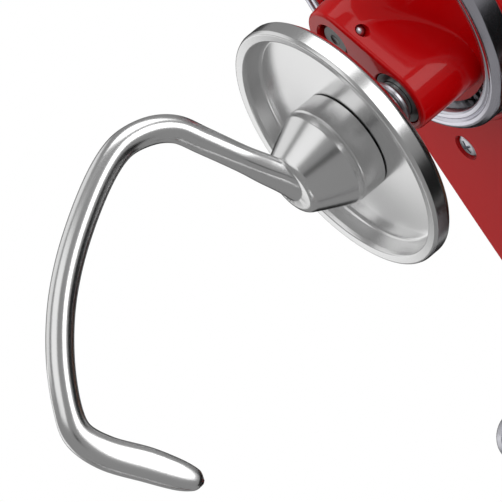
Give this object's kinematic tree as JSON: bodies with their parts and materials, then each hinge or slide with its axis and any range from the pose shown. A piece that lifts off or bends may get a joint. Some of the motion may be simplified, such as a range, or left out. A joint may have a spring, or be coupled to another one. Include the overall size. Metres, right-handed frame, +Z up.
{
  "type": "stand mixer",
  "caption": "Tilt-head stand mixer with its head tipped open, a planetary drive and a dough hook with a splash shield.",
  "frame": {"origin": "middle of the footprint, on the table under the feet, with the head tipped open", "axes": "+Z up, -Y towards the front of the mixer where the hook hangs, +X the side with the speed lever"},
  "size_m": [0.2186, 0.401, 0.4895],
  "materials": {
    "enamel": "gloss red enamel on die-cast zinc",
    "polished_steel": "mirror-polished stainless steel",
    "satin_metal": "satin",
    "gear_steel": "machined, oiled",
    "bronze": "machined bronze",
    "motor_copper": "laminations with varnished copper windings",
    "black_plastic": "moulded, semi-gloss",
    "rubber": "matt"
  },
  "bodies": {
    "stand": {"base": "enamel", "pedestal": "enamel", "foot_1": "rubber", "foot_2": "rubber", "foot_3": "rubber", "foot_4": "rubber", "foot_5": "rubber", "bowl_plate": "polished_steel", "bowl_plate_screw_1": "satin_metal", "bowl_plate_screw_2": "satin_metal", "bowl_plate_screw_3": "satin_metal", "hinge_pin": "satin_metal", "hinge_set_screw": "satin_metal", "pedestal_bolt_1": "satin_metal", "pedestal_bolt_2": "satin_metal", "pedestal_bolt_3": "satin_metal", "pedestal_bolt_4": "satin_metal", "cord_gland": "rubber"},
    "lock": {"lock_lever": "satin_metal"},
    "head": {"lower_gearcase": "enamel", "upper_housing": "enamel", "end_cover": "enamel", "end_cover_screw": "satin_metal", "trim_band": "polished_steel", "drip_ring": "satin_metal", "ring_gear": "gear_steel", "shaft_bushing": "bronze", "gearcase_screw_1": "satin_metal", "gearcase_screw_2": "satin_metal", "gearcase_screw_3": "satin_metal", "gearcase_screw_4": "satin_metal", "motor_stator": "motor_copper", "front_bearing": "bronze", "rear_bearing": "bronze", "brush_cap_left": "black_plastic", "brush_cap_right": "black_plastic", "control_plate": "gear_steel", "worm_bracket": "gear_steel", "attachment_hub": "polished_steel", "hub_cover_pin": "satin_metal"},
    "speed_control": {"speed_lever": "satin_metal", "speed_knob": "black_plastic"},
    "hub_knob": {"attachment_knob": "black_plastic"},
    "cover": {"hub_cover": "polished_steel"},
    "motor": {"armature": "motor_copper", "cooling_fan": "black_plastic"},
    "wheel": {"worm_wheel": "bronze"},
    "hub_drive": {"hub_drive_shaft": "gear_steel"},
    "planet": {"planetary": "enamel", "centre_shaft": "gear_steel", "lock_pin": "satin_metal", "centre_gear": "gear_steel", "centre_bevel_gear": "gear_steel"},
    "agitator": {"agitator_shaft": "polished_steel", "agitator_pinion": "gear_steel", "circlip": "satin_metal", "thrust_washer": "gear_steel", "cross_pin": "satin_metal"},
    "hook": {"dough_hook": "polished_steel", "splash_shield": "polished_steel"}
  },
  "joints": [
    {"name": "head_tilt", "type": "hinge", "parent": "stand", "child": "head", "pos_m": [0, 0.08246, 0.23], "axis": [-1, 0, 0], "range_deg": [-45, 0]},
    {"name": "lock_slide", "type": "slide", "parent": "stand", "child": "lock", "axis": [0, 1, 0], "range_m": [0, 0.012]},
    {"name": "planetary_spin", "type": "hinge", "parent": "head", "child": "planet", "pos_m": [0, -0.0502, 0.33069], "axis": [0, 0.7071, 0.7071], "continuous": true},
    {"name": "agitator_spin", "type": "hinge", "parent": "planet", "child": "agitator", "pos_m": [0.01647, -0.03375, 0.31424], "axis": [0, 0.7071, 0.7071], "continuous": true},
    {"name": "hook_turn", "type": "hinge", "parent": "agitator", "child": "hook", "pos_m": [0.01647, -0.05312, 0.29487], "axis": [0, 0.7071, 0.7071], "range_deg": [0, 30]},
    {"name": "worm_wheel_spin", "type": "hinge", "parent": "head", "child": "wheel", "pos_m": [0.0235, -0.17396, 0.16115], "axis": [0, 0.7071, 0.7071], "continuous": true},
    {"name": "motor_spin", "type": "hinge", "parent": "head", "child": "motor", "pos_m": [0, 0.01811, 0.399], "axis": [0, 0.7071, -0.7071], "continuous": true},
    {"name": "hub_drive_spin", "type": "hinge", "parent": "head", "child": "hub_drive", "pos_m": [0, 0.01811, 0.399], "axis": [0, 0.7071, -0.7071], "continuous": true},
    {"name": "speed_slide", "type": "slide", "parent": "head", "child": "speed_control", "axis": [0, 0.7071, -0.7071], "range_m": [0, 0.036]},
    {"name": "hub_knob_turn", "type": "hinge", "parent": "head", "child": "hub_knob", "pos_m": [0, -0.02573, 0.44284], "axis": [1, 0, 0], "range_deg": [0, 360]},
    {"name": "cover_swing", "type": "hinge", "parent": "head", "child": "cover", "pos_m": [0, -0.03103, 0.48633], "axis": [-1, 0, 0], "range_deg": [0, 100]}
  ],
  "couplings": [
    {"joint": "agitator_spin", "follows": "planetary_spin", "ratio": -2.9},
    {"joint": "worm_wheel_spin", "follows": "planetary_spin", "ratio": -3.1667},
    {"joint": "motor_spin", "follows": "planetary_spin", "ratio": -34.833},
    {"joint": "hub_drive_spin", "follows": "planetary_spin", "ratio": -1}
  ]
}
